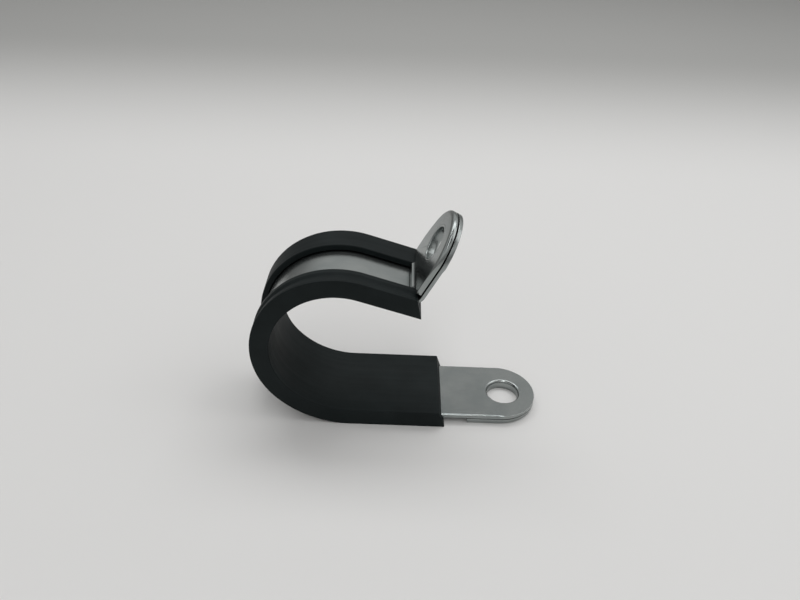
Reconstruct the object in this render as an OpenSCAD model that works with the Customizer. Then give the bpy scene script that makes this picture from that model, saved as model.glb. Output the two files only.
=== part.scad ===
// Rubber-lined P clip: a steel band in a rubber liner, with two reinforced fixing lugs.
// The band's path is drawn in the XZ plane, along its pipe-side face, from the lower
// fixing hole round the loop to the upper lug. Y runs across the band.

/* [Band] */
// Width of the steel band and of both lugs
band_w = 15; // [12:0.5:20]
// Thickness of the steel band
band_t = 0.8; // [0.6:0.1:1.2]

/* [Loop] */
// Straight run of the band from the lower fixing hole to the foot of the loop
base_run = 31.2; // [26:0.2:40]
// Radius of the band's pipe side where the loop leaves the base
heel_r = 17.3; // [14:0.1:24]
// Angle that the heel turns through
heel_sweep = 48.6; // [30:0.2:70]
// Radius of the band's pipe side round the back and over the top
crown_r = 14.4; // [11:0.1:20]
// Fall of the shoulder below the horizontal
shoulder_fall = 16.9; // [8:0.1:26]
// Straight length of the shoulder, up to the corner line of the upper lug
shoulder_run = 11; // [9:0.1:18]

/* [Lugs] */
// Rise of the upper lug above the horizontal
lug_rise = 63; // [50:0.5:75]
// Distance from the corner line to the upper fixing hole
lug_reach = 9.05; // [8:0.05:12]
// Distance from each fixing hole to the tip of its lug
hole_to_tip = 6.5; // [5.5:0.1:7.5]
// How far the punched outline of a lug's tip lies inside the strip's edges
punch_inset = 0.1; // [0.05:0.05:0.4]
// Straight length of the punched outline before its round starts
punch_lead = 0.3; // [0.1:0.1:4]
// Diameter of both fixing holes
hole_d = 6.4; // [5.2:0.1:7]
// Rounding where the band dips into each hole
hole_mouth_r = 0.5; // [0.2:0.05:0.6]
// Wall of the collar that is drawn through each plate
collar_t = 0.5; // [0.4:0.05:0.8]
// Room round the collar in the plate's hole
collar_clearance = 0.05; // [0.02:0.01:0.1]

/* [Reinforcement] */
// Thickness of the upper bracket and of the lower plate
plate_t = 1.1; // [0.8:0.1:1.4]
// Gap between the band and the plate that backs it
layer_gap = 0.1; // [0.05:0.01:0.2]
// Inside radius of the upper bracket's bend
bend_inside_r = 0.6; // [0.4:0.1:1.2]
// Length of the bracket's foot before its bend
foot_len = 0.5; // [0.3:0.1:1]
// Length of the lower plate behind its hole
plate_tail = 7.8; // [6:0.1:10]

/* [Liner] */
// Width of the rubber liner
liner_w = 18.1; // [16.5:0.1:24]
// Rubber between the band and the pipe
liner_wall = 1.6; // [1:0.1:3]
// Thickness of the lips that hold the band
lip_t = 1.1; // [0.8:0.1:1.6]
// Width of the lip on the -Y side
near_lip_w = 4.05; // [3:0.05:5]
// Width of the lip on the +Y side
far_lip_w = 5.65; // [3:0.05:6]
// Room round the band in its slot
slot_clearance = 0.1; // [0.05:0.01:0.2]
// Distance from the lower fixing hole to the liner's end, at the band
liner_start = 13; // [11:0.1:16]
// Lean of the liner's lower end from square
lower_end_lean = 19; // [0:1:30]
// Lean of the liner's upper end from square
upper_end_lean = 29; // [0:1:35]

/* [Hidden] */
$fn = 96;
// Angle between the flats that an arc of the strip is made of
facet_angle = 3;

hole_r = hole_d / 2;
plate_hole_r = hole_r + collar_t + collar_clearance;
stack_t = band_t + layer_gap + plate_t;
base_z = stack_t;
liner_out = band_t + slot_clearance + lip_t;
slot_half_w = band_w / 2 + slot_clearance;
crown_sweep = 180 + shoulder_fall - heel_sweep;
// Round of a lug's tip, and how far behind the hole its centre is
tip_r = band_w / 2 - punch_inset;
tip_back = tip_r - hole_to_tip;
punch_back = tip_back + punch_lead;
// How far the notches beside the bracket's foot reach up the lug, past the bend
corner_relief = 0.1;
// Extra length of liner at each end, which the leaning cuts take off
trim_len = liner_out + liner_wall;

// The bend between shoulder and upper lug, measured at the band's pipe side
bend_r = bend_inside_r + stack_t;
bend_sweep = shoulder_fall + lug_rise;
bend_tangent = bend_r * tan(bend_sweep / 2);
shoulder_len = shoulder_run - bend_tangent;
lug_len = lug_reach - bend_tangent;

// The path of the band's pipe side, seen along the pipe: where each stretch starts
heel_heading = 180 - heel_sweep;
shoulder_heading = -shoulder_fall;
heel_start = [-base_run, base_z];
crown_start = arc_end(heel_start, 180, heel_r, heel_sweep);
shoulder_start = arc_end(crown_start, heel_heading, crown_r, crown_sweep);
bend_start = shoulder_start + shoulder_len * dir(shoulder_heading);
corner = shoulder_start + shoulder_run * dir(shoulder_heading);
lug_hole = corner + lug_reach * dir(lug_rise);

function dir(a) = [cos(a), sin(a)];
// Unit vector towards the pipe for a path heading
function pipeward(a) = [sin(a), -cos(a)];
function arc_end(p, heading, r, sweep) =
    p + r * pipeward(heading) - r * pipeward(heading - sweep);

// Points of an arc after its first one, at a depth towards the pipe. The arc turns
// towards the pipe, or away from it where radius and sweep are negative.
function arc(p, heading, r, sweep, depth) =
    let (steps = ceil(abs(sweep) / facet_angle), centre = p + r * pipeward(heading))
    [for (i = [1:steps]) centre - (r - depth) * pipeward(heading - sweep * i / steps)];

// Line along the loop, from a place on the base to a distance along the shoulder
function loop_line(base_x, run, depth) = concat(
    [[base_x, base_z + depth], heel_start + [0, depth]],
    arc(heel_start, 180, heel_r, heel_sweep, depth),
    arc(crown_start, heel_heading, crown_r, crown_sweep, depth),
    [shoulder_start + run * dir(shoulder_heading) + depth * pipeward(shoulder_heading)]);

// Line from the start of the bend to the tip of the upper lug
function upper_line(depth) = concat(
    arc(bend_start, shoulder_heading, -bend_r, -bend_sweep, depth),
    [lug_hole + hole_to_tip * dir(lug_rise) + depth * pipeward(lug_rise)]);

function band_line(depth) = concat(loop_line(hole_to_tip, shoulder_len, depth), upper_line(depth));

function liner_line(depth) = loop_line(-liner_start + trim_len, shoulder_run + trim_len, depth);

function bracket_line(depth) = concat(
    [bend_start - foot_len * dir(shoulder_heading) + depth * pipeward(shoulder_heading),
        bend_start + depth * pipeward(shoulder_heading)],
    upper_line(depth));

// Line of the bend, from inside the slot
function bend_line(depth) = concat(
    [bend_start - slot_clearance * dir(shoulder_heading) + depth * pipeward(shoulder_heading)],
    upper_line(depth));

// Solid between two lines of the path, from y0 to y1
module between(line, back, y0, y1) {
    translate([0, y1, 0]) rotate([90, 0, 0]) linear_extrude(y1 - y0)
        polygon(concat(line, [for (i = [len(back) - 1:-1:0]) back[i]]));
}

// Frames at the fixing holes: +X towards the pipe, +Z towards the lug's tip
module at_lower_hole() {
    translate([0, 0, base_z]) rotate([0, 90, 0]) mirror([1, 0, 0]) children();
}

module at_upper_hole() {
    translate([lug_hole[0], 0, lug_hole[1]]) rotate([0, 90 - lug_rise, 0]) children();
}

// Flat outline through a lug, drawn with the hole at the origin and the tip at +X
module through_lug(from, to) {
    translate([from, 0, 0]) rotate([0, 90, 0]) mirror([1, 0, 0]) linear_extrude(to - from) children();
}

// What the punch takes off round a lug's tip
module punched_off() {
    through_lug(-stack_t - 1, 1) difference() {
        translate([-punch_back, -band_w]) square([punch_back + band_w, 2 * band_w]);
        translate([-tip_back, 0]) circle(r = tip_r);
        translate([-punch_back - 1, -tip_r]) square([punch_back + 1 - tip_back, 2 * tip_r]);
    }
}

// Cylinder through a lug, square to its faces
module lug_cylinder(r, from, to) {
    translate([from, 0, 0]) rotate([0, 90, 0]) cylinder(r = r, h = to - from);
}

// Bore of a drawn hole, with its rounded mouth on the pipe side
module drawn_bore() {
    lug_cylinder(hole_r, -stack_t - 1, 1);
    rotate([0, 90, 0]) rotate_extrude() difference() {
        translate([0, -hole_mouth_r]) square([hole_r + hole_mouth_r, hole_mouth_r + 1]);
        translate([hole_r + hole_mouth_r, -hole_mouth_r]) circle(r = hole_mouth_r);
    }
}

module steel_band() {
    color("silver") difference() {
        union() {
            between(band_line(-band_t), band_line(0), -band_w / 2, band_w / 2);
            at_lower_hole() lug_cylinder(hole_r + collar_t, -stack_t, -band_t / 2);
            at_upper_hole() lug_cylinder(hole_r + collar_t, -stack_t, -band_t / 2);
        }
        at_lower_hole() punched_off();
        at_upper_hole() punched_off();
        at_lower_hole() drawn_bore();
        at_upper_hole() drawn_bore();
    }
}

module upper_bracket() {
    color("silver") difference() {
        between(bracket_line(-stack_t), bracket_line(plate_t - stack_t), -band_w / 2, band_w / 2);
        at_upper_hole() punched_off();
        at_upper_hole() lug_cylinder(plate_hole_r, -stack_t - 1, 1);
        at_upper_hole() beside_foot();
    }
}

// Room for the liner's lips at both sides of the bracket's foot
module beside_foot() {
    foot_y0 = -liner_w / 2 + near_lip_w + slot_clearance;
    foot_y1 = liner_w / 2 - far_lip_w - slot_clearance;
    notch_len = 2 * lug_reach - lug_len + corner_relief;
    through_lug(-stack_t - lug_reach, 1) translate([-2 * lug_reach, 0]) {
        translate([0, foot_y0 - band_w]) square([notch_len, band_w]);
        translate([0, foot_y1]) square([notch_len, band_w]);
    }
}

module lower_plate() {
    color("silver") at_lower_hole() difference() {
        through_lug(-stack_t, plate_t - stack_t)
            translate([-plate_tail, -band_w / 2]) square([plate_tail + hole_to_tip, band_w]);
        punched_off();
        lug_cylinder(plate_hole_r, -stack_t - 1, 1);
    }
}

// Half space past a plane through the origin, leaning from square to the path
module beyond(lean) {
    rotate([0, lean, 0]) translate([-liner_w, -liner_w, 0]) cube([2 * liner_w, 2 * liner_w, liner_w]);
}

module rubber_liner() {
    color("#202422") difference() {
        between(liner_line(-liner_out), liner_line(liner_wall), -liner_w / 2, liner_w / 2);
        // the slot that holds the band
        between(liner_line(-band_t - slot_clearance), liner_line(slot_clearance),
            -slot_half_w, slot_half_w);
        // the gap between the two lips
        between(liner_line(-liner_out - 1), liner_line(-band_t),
            -liner_w / 2 + near_lip_w, liner_w / 2 - far_lip_w);
        // the band's bend lifts out of the slot and presses into the ends of the lips
        between(bend_line(-band_t - slot_clearance), bend_line(slot_clearance),
            -slot_half_w, slot_half_w);
        translate([-liner_start, 0, base_z]) rotate([0, 90, 0]) mirror([1, 0, 0]) beyond(lower_end_lean);
        translate([corner[0], 0, corner[1]]) rotate([0, 90 - shoulder_heading, 0]) beyond(-upper_end_lean);
    }
}

rubber_liner();
steel_band();
upper_bracket();
lower_plate();
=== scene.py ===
import math

import bmesh
import bpy
import numpy as np
from mathutils import Matrix, Vector


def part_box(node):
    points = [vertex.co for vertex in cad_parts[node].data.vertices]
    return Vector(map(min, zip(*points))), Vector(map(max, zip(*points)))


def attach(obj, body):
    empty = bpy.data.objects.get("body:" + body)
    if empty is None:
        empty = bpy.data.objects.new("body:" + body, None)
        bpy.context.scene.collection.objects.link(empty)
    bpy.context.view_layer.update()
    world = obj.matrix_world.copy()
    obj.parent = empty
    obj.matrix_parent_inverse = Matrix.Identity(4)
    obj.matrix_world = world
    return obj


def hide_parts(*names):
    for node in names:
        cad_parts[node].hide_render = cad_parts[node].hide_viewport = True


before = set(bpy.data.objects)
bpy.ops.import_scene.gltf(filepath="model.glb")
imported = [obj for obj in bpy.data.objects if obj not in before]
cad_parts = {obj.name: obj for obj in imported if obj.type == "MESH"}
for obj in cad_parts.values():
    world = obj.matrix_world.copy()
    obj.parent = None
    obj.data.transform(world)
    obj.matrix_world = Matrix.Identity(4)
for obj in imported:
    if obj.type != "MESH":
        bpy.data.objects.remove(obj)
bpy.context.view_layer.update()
print("frame loaded:", ", ".join(sorted(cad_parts)))

# Shapes are worked out in millimetres and scaled once, when a mesh is made
mm = 0.001
tiny = 1e-6  # lengths under this count as none


def halfWidth(node):
    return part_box(node)[1].y / mm


# The band's pipe side, seen along the pipe: every piece follows this line
clipPath = {
    "baseRun": 31.2,  # flat stretch from the lower hole to the heel
    "heelRadius": 17.3,
    "heelSweep": 48.6,
    "crownRadius": 14.4,
    "shoulderFall": 16.9,  # degrees below level where the crown ends
    "shoulderRun": 11.0,  # from there to the bend's corner
    "bendRadius": 2.25,
    "lugRise": 63.0,  # degrees above level
    "lugReach": 9.05,  # from the bend's corner to the upper hole
    "height": 2.0,  # of the lower lug's pipe side above the floor
}


def heading(angle):
    return np.array([math.cos(math.radians(angle)), math.sin(math.radians(angle))])


def pipeward(angle):
    return np.array([math.sin(math.radians(angle)), -math.cos(math.radians(angle))])


# Stretches of the path: where each starts along it, its first point, heading and radius.
# A radius above zero turns towards the pipe, below zero away from it, and zero is straight.
def makeStretches(p):
    crownSweep = 180 + p["shoulderFall"] - p["heelSweep"]
    bendSweep = p["shoulderFall"] + p["lugRise"]
    bendTangent = p["bendRadius"] * math.tan(math.radians(bendSweep / 2))
    plan = [
        (p["baseRun"], 0),
        (math.radians(p["heelSweep"]) * p["heelRadius"], p["heelRadius"]),
        (math.radians(crownSweep) * p["crownRadius"], p["crownRadius"]),
        (p["shoulderRun"] - bendTangent, 0),
        (math.radians(bendSweep) * p["bendRadius"], -p["bendRadius"]),
        (p["lugReach"] - bendTangent, 0),
    ]
    stretches, u, point, angle = [], 0.0, np.array([0.0, p["height"]]), 180.0
    for length, radius in plan:
        stretches.append({"u": u, "point": point, "angle": angle, "radius": radius})
        if radius:
            turned = angle - math.degrees(length / radius)
            point = point + radius * pipeward(angle) - radius * pipeward(turned)
            angle = turned
        else:
            point = point + length * heading(angle)
        u += length
    return stretches, u


stretches, upperHoleU = makeStretches(clipPath)
crownEndU = stretches[3]["u"]
bendStartU = stretches[4]["u"]
lugStartU = stretches[5]["u"]


# A place beside the path: u along it from the lower hole, depth towards the pipe, y across.
# The loop alone leaves the bend out, so the shoulder runs on straight.
def place(u, depth, y, loopOnly=False):
    s = stretches[0]
    for candidate in stretches[1:4] if loopOnly else stretches[1:]:
        if u >= candidate["u"]:
            s = candidate
    along = u - s["u"]
    if s["radius"]:
        angle = s["angle"] - math.degrees(along / s["radius"])
        p = s["point"] + s["radius"] * (pipeward(s["angle"]) - pipeward(angle))
    else:
        angle = s["angle"]
        p = s["point"] + along * heading(angle)
    p = p + depth * pipeward(angle)
    return (p[0], y, p[1])


# Longest steps along the path
stationSteps = {
    "straight": 2.5,
    "loopTurn": 1.5,  # degrees of turn in the heel and crown
    "bendTurn": 4.5,  # degrees of turn in the small bend
}


# Places along the path with a fine step where it curves and a coarse one where it is straight
def stationsBetween(first, last):
    ends = [s["u"] for s in stretches] + [math.inf]
    found = [first]
    for s, end in zip(stretches, ends[1:]):
        low, high = max(first, s["u"]), min(last, end)
        if high - low < tiny:
            continue
        step = stationSteps["straight"]
        if s["radius"]:
            turn = stationSteps["loopTurn" if s["radius"] > 0 else "bendTurn"]
            step = math.radians(turn) * abs(s["radius"])
        count = max(1, math.ceil((high - low) / step))
        found += [low + (high - low) * (i + 1) / count for i in range(count)]
    return found


# How a mesh is cleaned and shaded
meshing = {
    "mergeWithin": 0.004,
    "dropUnder": 0.001,
    "sharpOver": 40,  # degrees between faces
    "normalWeight": 80,
}


# Merges and shades a mesh, and rides it on the clip's one body
def makePiece(name, points, faces, material, node):
    mesh = bpy.data.meshes.new(name)
    mesh.from_pydata([(x * mm, y * mm, z * mm) for x, y, z in points], [], faces)
    work = bmesh.new()
    work.from_mesh(mesh)
    bmesh.ops.remove_doubles(work, verts=work.verts, dist=meshing["mergeWithin"] * mm)
    bmesh.ops.dissolve_degenerate(work, edges=work.edges, dist=meshing["dropUnder"] * mm)
    bmesh.ops.recalc_face_normals(work, faces=work.faces)
    openEdges = sum(1 for e in work.edges if len(e.link_faces) != 2)
    for f in work.faces:
        f.smooth = True
    for e in work.edges:
        e.smooth = e.calc_face_angle(0) < math.radians(meshing["sharpOver"])
    work.to_mesh(mesh)
    work.free()
    mesh.materials.append(material)
    piece = bpy.data.objects.new(name, mesh)
    bpy.context.scene.collection.objects.link(piece)
    crisp = piece.modifiers.new("evenNormals", "WEIGHTED_NORMAL")
    crisp.weight = meshing["normalWeight"]
    crisp.keep_sharp = True
    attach(piece, "root")
    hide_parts(node)
    print(name, "has", len(mesh.polygons), "faces and", openEdges, "open edges")
    return piece


# Quarter round between two faces: how far in from the edge, and how far below the face
def quarterRound(inward, down, steps):
    turns = [math.pi / 2 * i / steps for i in range(steps + 1)]
    return [(inward * (1 - math.sin(t)), down * (1 - math.cos(t))) for t in turns]


# A plate's outer edge as (inset, depth) from its pipe side down. Rounds are how far in and
# down the rounding reaches at the pipe side, and how far in and up at the other side.
def edgeProfile(top, bottom, rounds, steps=4):
    pipeSide = quarterRound(rounds[0], rounds[1], steps)
    backSide = quarterRound(rounds[2], rounds[3], steps)
    upper = [(inset, top - drop) for inset, drop in pipeSide]
    lower = [(inset, bottom + rise) for inset, rise in reversed(backSide)]
    return upper + lower


# Inward offset directions of a line of points, with the solid on its left. At a corner the
# direction is longer, to keep the inset even, until the corner is sharper than mitreLimit.
def inwardDirections(points, closed, mitreLimit=0.5):
    count, found = len(points), []
    for i in range(count):
        before = points[i - 1] if closed or i > 0 else None
        after = points[(i + 1) % count] if closed or i < count - 1 else None
        normals = []
        for a, b in ((before, points[i]), (points[i], after)):
            if a is None or b is None:
                continue
            d = np.array(b) - np.array(a)
            length = np.hypot(*d)
            if length > tiny:
                normals.append(np.array([-d[1], d[0]]) / length)
        n = sum(normals)
        n = n / np.hypot(*n)
        found.append(n / max(mitreLimit, float(np.dot(n, normals[0]))))
    return found


# Closed outline with each corner rounded by its own radius
def roundedOutline(corners, steps=5):
    points, count = [], len(corners)
    for i, (x, y, radius) in enumerate(corners):
        here = np.array([x, y])
        before = np.array(corners[i - 1][:2]) - here
        after = np.array(corners[(i + 1) % count][:2]) - here
        if radius <= 0:
            points.append(tuple(here))
            continue
        before, after = before / np.hypot(*before), after / np.hypot(*after)
        half = math.acos(np.clip(np.dot(before, after), -1, 1)) / 2
        middle = (before + after) / np.hypot(*(before + after))
        centre = here + middle * radius / math.sin(half)
        start = here + before * radius / math.tan(half) - centre
        end = here + after * radius / math.tan(half) - centre
        a0, a1 = math.atan2(start[1], start[0]), math.atan2(end[1], end[0])
        turn = (a1 - a0 + math.pi) % (2 * math.pi) - math.pi
        for k in range(steps + 1):
            a = a0 + turn * k / steps
            points.append((centre[0] + radius * math.cos(a), centre[1] + radius * math.sin(a)))
    return points


def addSocket(group, name, direction, kind, value=None):
    socket = group.interface.new_socket(name=name, in_out=direction, socket_type=kind)
    if value is not None:
        socket.default_value = value


noiseSpan = (0.3, 0.7)  # where most of a noise lies, spread over 0 to 1 in the masks


# A mask from 0 to 1 out of a noise node in a group
def spreadNoise(group, noise):
    spread = group.nodes.new("ShaderNodeMapRange")
    spread.inputs["From Min"].default_value, spread.inputs["From Max"].default_value = noiseSpan
    group.links.new(noise.outputs["Fac"], spread.inputs["Value"])
    return spread.outputs["Result"]


# Fine and broad mottling: two masks from 0 to 1 that change over the surface
def makeMottle():
    group = bpy.data.node_groups.new("mottle", "ShaderNodeTree")
    addSocket(group, "Place", "INPUT", "NodeSocketVector")
    addSocket(group, "Fine Scale", "INPUT", "NodeSocketFloat", 3000)
    addSocket(group, "Broad Scale", "INPUT", "NodeSocketFloat", 150)
    addSocket(group, "Fine", "OUTPUT", "NodeSocketFloat")
    addSocket(group, "Broad", "OUTPUT", "NodeSocketFloat")
    nodes, links = group.nodes, group.links
    enter, leave = nodes.new("NodeGroupInput"), nodes.new("NodeGroupOutput")
    layers = (("Fine", "Fine Scale", 4, 0.6), ("Broad", "Broad Scale", 3, 0.5))
    for name, scale, detail, roughness in layers:
        noise = nodes.new("ShaderNodeTexNoise")
        noise.inputs["Detail"].default_value = detail
        noise.inputs["Roughness"].default_value = roughness
        links.new(enter.outputs["Place"], noise.inputs["Vector"])
        links.new(enter.outputs[scale], noise.inputs["Scale"])
        links.new(spreadNoise(group, noise), leave.inputs[name])
    return group


# Lines that run along the loop, as an extruded or rolled surface has
def makeDrawLines():
    group = bpy.data.node_groups.new("drawLines", "ShaderNodeTree")
    addSocket(group, "Place", "INPUT", "NodeSocketVector")
    addSocket(group, "Across Scale", "INPUT", "NodeSocketFloat", 1500)
    addSocket(group, "Along Scale", "INPUT", "NodeSocketFloat", 20)
    addSocket(group, "Lines", "OUTPUT", "NodeSocketFloat")
    nodes, links = group.nodes, group.links
    enter, leave = nodes.new("NodeGroupInput"), nodes.new("NodeGroupOutput")
    stretch = nodes.new("ShaderNodeVectorMath")
    stretch.operation = "MULTIPLY"
    scales = nodes.new("ShaderNodeCombineXYZ")
    links.new(enter.outputs["Along Scale"], scales.inputs["X"])
    links.new(enter.outputs["Across Scale"], scales.inputs["Y"])
    links.new(enter.outputs["Along Scale"], scales.inputs["Z"])
    links.new(enter.outputs["Place"], stretch.inputs[0])
    links.new(scales.outputs["Vector"], stretch.inputs[1])
    noise = nodes.new("ShaderNodeTexNoise")
    noise.inputs["Scale"].default_value = 1
    noise.inputs["Detail"].default_value = 3
    links.new(stretch.outputs["Vector"], noise.inputs["Vector"])
    links.new(spreadNoise(group, noise), leave.inputs["Lines"])
    return group


# Places a node group in a material, fed with the object's own coordinates
def makeGroupNode(material, group, values):
    node = material.node_tree.nodes.new("ShaderNodeGroup")
    node.node_tree = group
    place = material.node_tree.nodes.new("ShaderNodeTexCoord")
    material.node_tree.links.new(place.outputs["Object"], node.inputs["Place"])
    for name, value in values.items():
        node.inputs[name].default_value = value
    return node


def newMaterial(name):
    material = bpy.data.materials.new(name)
    material.use_nodes = True
    return material, material.node_tree.nodes["Principled BSDF"]


def mixColours(material, mask, first, second):
    mix = material.node_tree.nodes.new("ShaderNodeMix")
    mix.data_type = "RGBA"
    mix.inputs["A"].default_value = (*first, 1)
    mix.inputs["B"].default_value = (*second, 1)
    material.node_tree.links.new(mask, mix.inputs["Factor"])
    return mix.outputs["Result"]


def mapMask(material, mask, low, high):
    spread = material.node_tree.nodes.new("ShaderNodeMapRange")
    spread.inputs["To Min"].default_value = low
    spread.inputs["To Max"].default_value = high
    material.node_tree.links.new(mask, spread.inputs["Value"])
    return spread.outputs["Result"]


# A chain of bumps from pairs of height and strength
def addBump(material, shader, heights, distance):
    last = None
    for height, strength in heights:
        bump = material.node_tree.nodes.new("ShaderNodeBump")
        bump.inputs["Strength"].default_value = strength
        bump.inputs["Distance"].default_value = distance
        material.node_tree.links.new(height, bump.inputs["Height"])
        if last is not None:
            material.node_tree.links.new(last.outputs["Normal"], bump.inputs["Normal"])
        last = bump
    material.node_tree.links.new(last.outputs["Normal"], shader.inputs["Normal"])


mottle = makeMottle()
drawLines = makeDrawLines()

zincFinish = {
    "dark": (0.285, 0.31, 0.307),
    "light": (0.345, 0.365, 0.358),
    "smoothest": 0.22,
    "roughest": 0.27,
    "mottleScales": {"Fine Scale": 2600, "Broad Scale": 220},
    "lineScales": {"Across Scale": 2200, "Along Scale": 90},
    "fineBump": 0.1,
    "lineBump": 0.05,
    "grainDepth": 0.003 * mm,
}


def makeZinc(f):
    material, shader = newMaterial("zincPlatedSteel")
    links = material.node_tree.links
    spots = makeGroupNode(material, mottle, f["mottleScales"])
    rolled = makeGroupNode(material, drawLines, f["lineScales"])
    colour = mixColours(material, spots.outputs["Broad"], f["dark"], f["light"])
    roughness = mapMask(material, spots.outputs["Fine"], f["smoothest"], f["roughest"])
    links.new(colour, shader.inputs["Base Color"])
    links.new(roughness, shader.inputs["Roughness"])
    shader.inputs["Metallic"].default_value = 1
    heights = [(spots.outputs["Fine"], f["fineBump"]), (rolled.outputs["Lines"], f["lineBump"])]
    addBump(material, shader, heights, f["grainDepth"])
    return material


rubberFinish = {
    "dark": (0.0036, 0.0068, 0.0072),
    "light": (0.0074, 0.0118, 0.0122),
    "smoothest": 0.53,
    "roughest": 0.62,
    "specular": 0.16,
    "mottleScales": {"Fine Scale": 1800, "Broad Scale": 160},
    "lineScales": {"Across Scale": 1300, "Along Scale": 45},
    "fineBump": 0.35,
    "lineBump": 0.12,
    "grainDepth": 0.012 * mm,
}


def makeRubber(f):
    material, shader = newMaterial("blackRubber")
    links = material.node_tree.links
    spots = makeGroupNode(material, mottle, f["mottleScales"])
    drawn = makeGroupNode(material, drawLines, f["lineScales"])
    colour = mixColours(material, spots.outputs["Broad"], f["dark"], f["light"])
    roughness = mapMask(material, drawn.outputs["Lines"], f["smoothest"], f["roughest"])
    links.new(colour, shader.inputs["Base Color"])
    links.new(roughness, shader.inputs["Roughness"])
    shader.inputs["Specular IOR Level"].default_value = f["specular"]
    heights = [(spots.outputs["Fine"], f["fineBump"]), (drawn.outputs["Lines"], f["lineBump"])]
    addBump(material, shader, heights, f["grainDepth"])
    return material


zinc = makeZinc(zincFinish)
rubber = makeRubber(rubberFinish)
print("materials made")

# Both lugs: a half-round tip, and a hole drawn through the band and the plate behind it.
# Depths are from the band's pipe side, above zero towards the pipe.
lug = {
    "halfWidth": halfWidth("steel_band") + 0.1,
    "holeRadius": 3.2,
    "mouthDown": 0.68,  # how deep and how wide the hole's mouth is drawn in
    "mouthOut": 0.55,
    "collar": 0.5,  # wall of the collar
    "holeToTip": 6.5,
    "bandThickness": 0.75,
    "stack": 2.0,  # band and plate together
    "sideSteps": 16,
    "tipSteps": 60,
}

# Rubber liner: a channel round the band, with a narrow and a wide lip over the band's back
liner = {
    "wall": 1.6,
    "outer": -2.0,
    "slotTop": 0.1,
    "slotBottom": -0.9,
    "slotHalf": halfWidth("steel_band") + 0.2,
    "slotRound": 0.08,
    "nearLip": 4.05,
    "farLip": 5.65,
    "grooveNear": 0.6,
    "grooveMiddle": 2.3,
    "grooveFar": 2.9,
    "grooveDepth": 0.32,
    "grooveRound": 0.3,
    "edgeRound": 0.15,
    "lipRound": 0.22,
    "start": 13.0,  # along the band from the lower hole
    "lowerLean": 19.0,  # degrees that each end leans
    "upperLean": 29.0,
    "leanRoom": 1.5,  # from the leaning start to the first upright ring
    "endRound": 0.14,
    "endSteps": 3,
    "bendRings": 6,  # rings over the bend, each leaning more than the last
    "bendRingRoom": 0.2,  # from the last of them to the lips' upper end
    "bendRoom": 0.1,  # between the band's bend and the lips
    "giveUnder": 0.01,  # the lips give way to the bend from this far under the slot's top
    "giveBeside": 0.05,  # and up to this far beyond the slot's sides
    "giveSteps": 12,
}


def makeLiner(v):
    half = halfWidth("rubber_liner")
    near, far = -half + v["nearLip"], half - v["farLip"]
    big, small = v["edgeRound"], v["lipRound"]
    section = roundedOutline([
        (v["wall"], -half, big),
        (v["wall"], half, big),
        (v["outer"], half, big),
        (v["outer"], far, small),
        (v["slotBottom"], far, v["slotRound"]),
        (v["slotBottom"], v["slotHalf"], v["slotRound"]),
        (v["slotTop"], v["slotHalf"], v["slotRound"]),
        (v["slotTop"], -v["slotHalf"], v["slotRound"]),
        (v["slotBottom"], -v["slotHalf"], v["slotRound"]),
        (v["slotBottom"], near, v["slotRound"]),
        (v["outer"], near, small),
        (v["outer"], -half + v["grooveFar"], v["grooveRound"]),
        (v["outer"] + v["grooveDepth"], -half + v["grooveMiddle"], v["grooveRound"]),
        (v["outer"], -half + v["grooveNear"], v["grooveRound"]),
        (v["outer"], -half, big),
    ])
    inward = inwardDirections(section, closed=True)
    lowerTan = math.tan(math.radians(v["lowerLean"]))
    upperTan = math.tan(math.radians(v["upperLean"]))
    endU = crownEndU + clipPath["shoulderRun"]
    bandBendRadius = clipPath["bendRadius"] - lug["bandThickness"]
    count = len(section)
    points = []

    # Depth below which the band's bend leaves the lips free, at a distance past the bend's start
    def bendDepth(past):
        reach = math.sqrt(max(0.0, bandBendRadius ** 2 - past ** 2))
        return -clipPath["bendRadius"] + reach - v["bendRoom"]

    # One ring of the section, shrunk a little where it closes an end. The band's bend
    # lifts out of the slot, so the lips stop where it comes up between them.
    def ring(placeU, shrink):
        for (depth, y), n in zip(section, inward):
            d, across = depth + n[0] * shrink, y + n[1] * shrink
            u = placeU(d)
            if depth < v["slotTop"] - v["giveUnder"] and abs(y) < v["slotHalf"] + v["giveBeside"]:
                for repeat in range(v["giveSteps"]):
                    past = min(u - bendStartU, bandBendRadius)
                    if past > 0:
                        d = (d + min(d, bendDepth(past))) / 2
                        u = placeU(d)
            points.append(place(u, d, across, loopOnly=True))

    turns = quarterRound(v["endRound"], v["endRound"], v["endSteps"])
    for shrink, back in turns:
        ring(lambda d: v["start"] + back + d * lowerTan, shrink)
    for u in stationsBetween(v["start"] + v["leanRoom"], bendStartU):
        ring(lambda d: u, 0.0)
    bendRingRun = endU + v["outer"] * upperTan - v["bendRingRoom"] - bendStartU
    for i in range(1, v["bendRings"] + 1):
        share = i / (v["bendRings"] + 1)
        ring(lambda d: bendStartU + share * (bendRingRun + (d - v["outer"]) * upperTan), 0.0)
    for shrink, back in reversed(turns):
        ring(lambda d: endU - back + d * upperTan, shrink)
    rings = len(points) // count
    faces = []
    for r in range(rings - 1):
        for i in range(count):
            k = (i + 1) % count
            faces.append((r * count + i, r * count + k, (r + 1) * count + k, (r + 1) * count + i))
    faces.append(tuple(range(count)))
    faces.append(tuple((rings - 1) * count + i for i in range(count)))
    return makePiece("linerChannel", points, faces, rubber, "rubber_liner")


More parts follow.
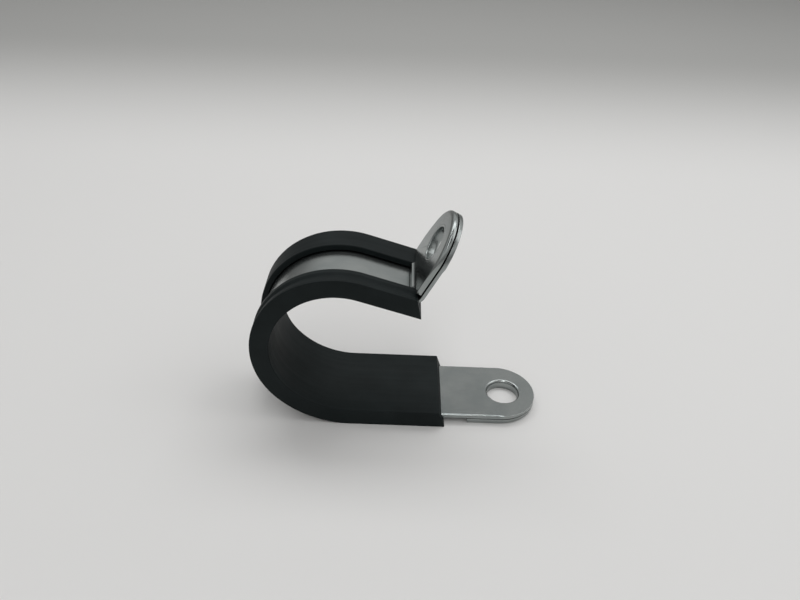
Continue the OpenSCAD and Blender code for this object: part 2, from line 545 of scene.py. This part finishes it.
# Outline of a lug from the near tail corner round the tip to the far one, and the rounding
# of its edges at each point: the strip's own along the sides, then over cutSpan the punch's
def lugSides(tail, near, far, cut, cutSpan):
    half = lug["halfWidth"]
    tipBack = half - lug["holeToTip"]
    run = [-tail + (tail - tipBack) * i / lug["sideSteps"] for i in range(lug["sideSteps"])]
    turns = [math.pi * (i / lug["tipSteps"] - 0.5) for i in range(lug["tipSteps"] + 1)]
    tip = [(-tipBack + half * math.cos(a), half * math.sin(a)) for a in turns]
    points = [(s, -half) for s in run] + tip + [(s, half) for s in reversed(run)]
    rounds = []
    for s, y in points:
        share = min(1.0, max(0.0, (s - cutSpan[0]) / (cutSpan[1] - cutSpan[0])))
        rounds.append([a + (b - a) * share for a, b in zip(near if y < 0 else far, cut)])
    return points, rounds


# Places across a cut through a strip, for its pipe side or its back
def acrossStrip(seamYs, yNear, yFar, nearInset, farInset):
    first, last = yNear + nearInset, yFar - farInset
    return [first + (y - yNear) / (yFar - yNear) * (last - first) for y in seamYs]


# A plate round a hole: an outline with the rounding at each point, seamYs along the
# outline's open stretch, and the bore as (radius, depth) from the pipe side down
def plateRings(outline, rounds, seamYs, top, bottom, hole, toPath):
    inward = inwardDirections(outline, closed=not seamYs)
    profiles = [edgeProfile(top, bottom, r) for r in rounds]
    near, far = outline[0], outline[-1]
    points, rows = [], []

    def addRow(places, depths):
        rows.append(list(range(len(points), len(points) + len(places))))
        points.extend(toPath(s, y, depth) for (s, y), depth in zip(places, depths))

    for r in range(len(profiles[0])):
        insets, depths = zip(*(profile[r] for profile in profiles))
        moved = zip(outline, inward, insets)
        places = [(s + n[0] * inset, y + n[1] * inset) for (s, y), n, inset in moved]
        across = acrossStrip(seamYs, near[1], far[1], insets[0], insets[-1])
        seam = [(near[0], y) for y in across]
        addRow(places + seam, list(depths) + [depths[0]] * len(seam))
    outerRows = len(rows)
    whole = outline + [(near[0], y) for y in seamYs]
    angles = [math.atan2(y, s) for s, y in whole]
    for radius, depth in hole:
        circle = [(radius * math.cos(a), radius * math.sin(a)) for a in angles]
        addRow(circle, [depth] * len(circle))
    faces, count = [], len(whole)

    def join(first, second, last):
        for i in range(last):
            k = (i + 1) % count
            faces.append((first[i], first[k], second[k], second[i]))

    for r in range(outerRows - 1):
        join(rows[r], rows[r + 1], len(outline) - 1 if seamYs else count)
    join(rows[outerRows], rows[0], count)
    for r in range(outerRows, len(rows) - 1):
        join(rows[r + 1], rows[r], count)
    join(rows[outerRows - 1], rows[-1], count)
    return points, faces


# Sweeps a strip's section along the path, closing the first ring where asked
def sweepStrip(stations, yNear, yFar, seamYs, top, bottom, near, far, closeFirst=False):
    nearEdge, farEdge = edgeProfile(top, bottom, near), edgeProfile(top, bottom, far)
    topYs = acrossStrip(seamYs, yNear, yFar, nearEdge[0][0], farEdge[0][0])
    bottomYs = acrossStrip(seamYs, yNear, yFar, nearEdge[-1][0], farEdge[-1][0])
    loop = [(y, top) for y in topYs] + [(yNear + by, depth) for by, depth in nearEdge]
    loop += [(y, bottom) for y in reversed(bottomYs)]
    loop += [(yFar - by, depth) for by, depth in reversed(farEdge)]
    count, points, faces = len(loop), [], []
    for u in stations:
        points += [place(u, depth, y) for y, depth in loop]
    for r in range(len(stations) - 1):
        for i in range(count):
            k = (i + 1) % count
            faces.append((r * count + i, r * count + k, (r + 1) * count + k, (r + 1) * count + i))
    if closeFirst:
        faces.append(tuple(range(count)))
    return points, faces


def seamBetween(yNear, yFar, steps):
    return [yFar + (yNear - yFar) * i / steps for i in range(1, steps)]


def joinParts(parts):
    points, faces = [], []
    for p, f in parts:
        start = len(points)
        points += p
        faces += [tuple(start + i for i in face) for face in f]
    return points, faces


def lowerLug(s, y, depth):
    return place(-s, depth, y)


def upperLug(s, y, depth):
    return place(upperHoleU + s, depth, y)


# Steel band: the strip round the loop, and a lug with a collar at each end. An edge is how
# far in and down it is rounded at the pipe side, then how far in and up at the back.
band = {
    "nearEdge": (0.42, 0.42, 0.04, 0.04),
    "farEdge": (0.14, 0.14, 0.04, 0.04),
    "punchedEdge": (0.06, 0.06, 0.04, 0.04),
    "cutSpan": (-0.85, -0.45),  # from the hole, where the strip's edge gives way to the punched one
    "lowerTail": 9.0,
    "seamSteps": 12,
    "mouthSteps": 8,
    "collarRound": 0.2,
    "collarEdge": 0.02,
    "collarSteps": 4,
}


def makeBand(v):
    half = lug["halfWidth"]
    top, bottom = 0.0, -lug["bandThickness"]
    inner, outer = lug["holeRadius"], lug["holeRadius"] + lug["collar"]
    drawn = quarterRound(lug["mouthOut"], lug["mouthDown"], v["mouthSteps"])
    rim = quarterRound(v["collarRound"], v["collarRound"], v["collarSteps"])
    edge = quarterRound(v["collarEdge"], v["collarEdge"], v["collarSteps"])
    mouth = [(inner + by, -drop) for by, drop in drawn]
    inside = [(inner + by, -lug["stack"] + rise) for by, rise in reversed(rim)]
    outside = [(outer - by, -lug["stack"] + rise) for by, rise in edge]
    hole = mouth + inside + outside + [(outer, bottom)]
    seamYs = seamBetween(-half, half, v["seamSteps"])
    edges = (v["nearEdge"], v["farEdge"])
    parts = []
    for tail, toPath in ((v["lowerTail"], lowerLug), (upperHoleU - lugStartU, upperLug)):
        outline, rounds = lugSides(tail, *edges, v["punchedEdge"], v["cutSpan"])
        parts.append(plateRings(outline, rounds, seamYs, top, bottom, hole, toPath))
    stations = stationsBetween(v["lowerTail"], lugStartU)
    parts.append(sweepStrip(stations, -half, half, seamYs, top, bottom, *edges))
    points, faces = joinParts(parts)
    return makePiece("bandStrip", points, faces, zinc, "steel_band")


# A plain hole through a plate, with both its edges rounded
def plateHole(radius, edge, top, bottom, steps=3):
    turns = quarterRound(edge, edge, steps)
    upper = [(radius + by, top - drop) for by, drop in turns]
    lower = [(radius + by, bottom + rise) for by, rise in reversed(turns)]
    return upper + lower


# Upper bracket: a plate behind the upper lug, whose foot ends between the liner's lips
bracket = {
    "top": -1.05,
    "footNear": -4.9,
    "footFar": 3.3,
    "footLen": 0.28,  # past the bend
    "seamBelow": 0.3,  # from the lug's start to where the foot's sweep takes over
    "notchPast": 0.1,  # from the lug's start to the tail edge beside the foot
    "tailSteps": 3,
    "curveTop": 1.0,  # how far up the plate the easy curve inside the bend ends
    "curveInset": 0.04,
    "curveSteps": 12,
    "curveLead": 0.05,  # length of foot that the curve sets out along
    "curveHidden": 0.3,  # how far the prism reaches past its corner, as a share of its depth
    "corner": 0.35,
    "cornerSteps": 5,
    "sideEdge": (0.03, 0.03, 0.1, 0.1),
    "punchedEdge": (0.03, 0.03, 0.9, 0.45),
    "cutSpan": (-3.2, 0.4),
    "holeRound": 0.03,
    "seamSteps": 8,
    "holeRadius": 3.72,
}


# A prism in the bend, whose bare side is an easy curve from the foot's end up the plate. Its
# other sides lie inside the metal.
def bendCurve(v, footEndU, tail, bottom):
    start = np.array(place(footEndU, bottom, 0))
    end, above = (np.array(upperLug(v["curveTop"] - tail - s, 0, bottom)) for s in (0, 1))
    along = start - place(footEndU - v["curveLead"], bottom, 0)
    directions = np.array([along, end - above])[:, [0, 2]].T
    reach = np.linalg.solve(directions, (end - start)[[0, 2]])
    corner = start + along * reach[0]
    shares = np.linspace(0, 1, v["curveSteps"] + 1)
    curve = [(1 - t) ** 2 * start + 2 * t * (1 - t) * corner + t ** 2 * end for t in shares]
    middle = curve[v["curveSteps"] // 2]
    loop = curve + [corner + (corner - middle) * v["curveHidden"]]
    count = len(loop)
    ys = (v["footNear"] + v["curveInset"], v["footFar"] - v["curveInset"])
    points = [(p[0], y, p[2]) for y in ys for p in loop]
    faces = [tuple(range(count)), tuple(range(count, 2 * count))]
    faces += [(i, (i + 1) % count, count + (i + 1) % count, count + i) for i in range(count)]
    return points, faces


def makeBracket(v):
    half = lug["halfWidth"]
    top, bottom = v["top"], -lug["stack"]
    hole = plateHole(v["holeRadius"], v["holeRound"], top, bottom)
    tail = upperHoleU - lugStartU - v["notchPast"]
    below = upperHoleU - lugStartU + v["seamBelow"]
    side, radius = v["sideEdge"], v["corner"]
    sides, sideRounds = lugSides(tail - radius, side, side, v["punchedEdge"], v["cutSpan"])
    turns = [math.pi / 2 * (i + 1) / v["cornerSteps"] for i in range(v["cornerSteps"])]

    # The tail edge from a side's rounded corner to the foot, and down beside the foot
    def tailEdge(sign, footY):
        insets = [(radius * (1 - math.sin(t)), radius * (1 - math.cos(t))) for t in turns]
        corner = [(-tail + along, sign * (half - across)) for along, across in insets]
        fromY = sign * (half - radius)
        shares = [(i + 1) / v["tailSteps"] for i in range(v["tailSteps"])]
        run = [(-tail, fromY + (footY - fromY) * share) for share in shares]
        return corner + run + [(-below, footY)]

    near, far = tailEdge(-1, v["footNear"]), tailEdge(1, v["footFar"])
    outline = list(reversed(near)) + sides + far
    rounds = [side] * len(near) + sideRounds + [side] * len(far)
    seamYs = seamBetween(v["footNear"], v["footFar"], v["seamSteps"])
    plate = plateRings(outline, rounds, seamYs, top, bottom, hole, upperLug)
    stations = stationsBetween(bendStartU - v["footLen"], upperHoleU - below)
    across = (v["footNear"], v["footFar"], seamYs)
    foot = sweepStrip(stations, *across, top, bottom, side, side, closeFirst=True)
    curve = bendCurve(v, stations[0], tail, bottom)
    points, faces = joinParts([plate, foot, curve])
    return makePiece("bracketPlate", points, faces, zinc, "upper_bracket")


# Lower plate: flat, under the lower lug
lowerPlate = {
    "top": -0.9,
    "tail": 7.8,
    "tailSteps": 12,
    "sideEdge": (0.03, 0.03, 0.3, 0.3),
    "punchedEdge": (0.03, 0.03, 0.6, 0.45),
    "cutSpan": (-2.0, 0.0),
    "holeRound": 0.12,
    "holeRadius": 3.75,
}


def makeLowerPlate(v):
    top, bottom = v["top"], -lug["stack"]
    hole = plateHole(v["holeRadius"], v["holeRound"], top, bottom)
    side = v["sideEdge"]
    sides, rounds = lugSides(v["tail"], side, side, v["punchedEdge"], v["cutSpan"])
    backYs = seamBetween(-lug["halfWidth"], lug["halfWidth"], v["tailSteps"])
    outline = sides + [(-v["tail"], y) for y in backYs]
    rounds += [side] * len(backYs)
    points, faces = plateRings(outline, rounds, [], top, bottom, hole, lowerLug)
    return makePiece("lowerPlateDisc", points, faces, zinc, "lower_plate")


makeLiner(liner)
makeBand(band)
makeBracket(bracket)
makeLowerPlate(lowerPlate)
print("pieces made")

# Floor, sky and lamps, in metres
studio = {
    "floorHalf": 3.0,
    "floorColour": (0.765, 0.76, 0.752),
    "floorRoughness": 0.75,
    "floorSpecular": 0.25,
    "farColour": (0.43, 0.43, 0.42),  # the floor fades to this between the two distances
    "farStarts": 0.11,
    "farEnds": 0.275,
    "skyColour": (1, 1, 0.99),
    "skyLow": 0.26,  # strengths at the horizon, a third of the way up and overhead
    "skyMiddle": 0.70,
    "skyTop": 0.06,
    "skyRise": (0.2, 0.5),  # sines of the heights between which the strength changes
    "skyFall": (0.58, 0.78),
    "lampAim": (-0.02, 0, 0),
    "lamps": {
        "behind": {"at": (-0.02, 0.224, 0.502), "size": (0.70, 0.20), "power": 1.36},
        "inFront": {"at": (-0.02, -0.232, 0.498), "size": (0.12, 0.42), "power": 0.62},
        "side": {"at": (0.334, 0, 0.421), "size": (0.30, 0.30), "power": 0.36},
    },
}


def makeFloor(v):
    mesh = bpy.data.meshes.new("studioFloor")
    half = v["floorHalf"]
    corners = [(-half, -half, 0), (half, -half, 0), (half, half, 0), (-half, half, 0)]
    mesh.from_pydata(corners, [], [(0, 1, 2, 3)])
    floor = bpy.data.objects.new("studioFloor", mesh)
    bpy.context.scene.collection.objects.link(floor)
    material, shader = newMaterial("paleFloor")
    nodes, links = material.node_tree.nodes, material.node_tree.links
    coord = nodes.new("ShaderNodeTexCoord")
    split = nodes.new("ShaderNodeSeparateXYZ")
    fade = nodes.new("ShaderNodeMapRange")
    fade.interpolation_type = "SMOOTHSTEP"
    fade.inputs["From Min"].default_value = v["farStarts"]
    fade.inputs["From Max"].default_value = v["farEnds"]
    links.new(coord.outputs["Object"], split.inputs["Vector"])
    links.new(split.outputs["Y"], fade.inputs["Value"])
    colour = mixColours(material, fade.outputs["Result"], v["floorColour"], v["farColour"])
    links.new(colour, shader.inputs["Base Color"])
    shader.inputs["Roughness"].default_value = v["floorRoughness"]
    shader.inputs["Specular IOR Level"].default_value = v["floorSpecular"]
    mesh.materials.append(material)


# Plain grey sky, brightest a third of the way up
def makeWorld(v):
    world = bpy.data.worlds.new("studioWorld")
    world.use_nodes = True
    nodes, links = world.node_tree.nodes, world.node_tree.links
    coord = nodes.new("ShaderNodeTexCoord")
    split = nodes.new("ShaderNodeSeparateXYZ")
    links.new(coord.outputs["Generated"], split.inputs["Vector"])
    total = nodes.new("ShaderNodeMath")
    total.operation = "ADD"
    rise = (v["skyRise"], v["skyLow"], v["skyMiddle"])
    fall = (v["skyFall"], 0.0, v["skyTop"] - v["skyMiddle"])
    for i, (span, first, last) in enumerate((rise, fall)):
        step = nodes.new("ShaderNodeMapRange")
        step.interpolation_type = "SMOOTHSTEP"
        step.inputs["From Min"].default_value, step.inputs["From Max"].default_value = span
        step.inputs["To Min"].default_value, step.inputs["To Max"].default_value = first, last
        links.new(split.outputs["Z"], step.inputs["Value"])
        links.new(step.outputs["Result"], total.inputs[i])
    background = nodes["Background"]
    background.inputs["Color"].default_value = (*v["skyColour"], 1)
    links.new(total.outputs["Value"], background.inputs["Strength"])
    bpy.context.scene.world = world


def makeLamps(v):
    for name, spec in v["lamps"].items():
        data = bpy.data.lights.new(name, "AREA")
        data.shape = "RECTANGLE"
        data.size, data.size_y = spec["size"]
        data.energy = spec["power"]
        lamp = bpy.data.objects.new(name, data)
        lamp.location = spec["at"]
        aim = Vector(v["lampAim"]) - Vector(spec["at"])
        lamp.rotation_euler = aim.to_track_quat("-Z", "Y").to_euler()
        bpy.context.scene.collection.objects.link(lamp)


# Camera, in millimetres and degrees
cameraView = {
    "aim": (-22.16, 0.0, 24.12),
    "distance": 133.36,
    "azimuth": -0.493,
    "elevation": 34.454,
    "roll": 2.426,
    "lens": 31.5,
    "sensor": 36.0,
    "clipStart": 5.0,
}


def makeCamera(v):
    data = bpy.data.cameras.new("camera")
    data.lens = v["lens"]
    data.sensor_width = v["sensor"]
    data.clip_start = v["clipStart"] * mm
    camera = bpy.data.objects.new("camera", data)
    azimuth, elevation = math.radians(v["azimuth"]), math.radians(v["elevation"])
    back = Vector((
        math.sin(azimuth) * math.cos(elevation),
        -math.cos(azimuth) * math.cos(elevation),
        math.sin(elevation),
    ))
    level = Vector((0, 0, 1)).cross(back).normalized()
    upright = back.cross(level)
    roll = math.radians(v["roll"])
    right = level * math.cos(roll) + upright * math.sin(roll)
    up = upright * math.cos(roll) - level * math.sin(roll)
    turn = Matrix((right, up, back)).transposed()
    spot = (Vector(v["aim"]) + back * v["distance"]) * mm
    camera.matrix_world = Matrix.Translation(spot) @ turn.to_4x4()
    bpy.context.scene.collection.objects.link(camera)
    bpy.context.scene.camera = camera


makeFloor(studio)
makeWorld(studio)
makeLamps(studio)
makeCamera(cameraView)
bpy.context.scene.view_settings.view_transform = "Standard"
print("studio made")
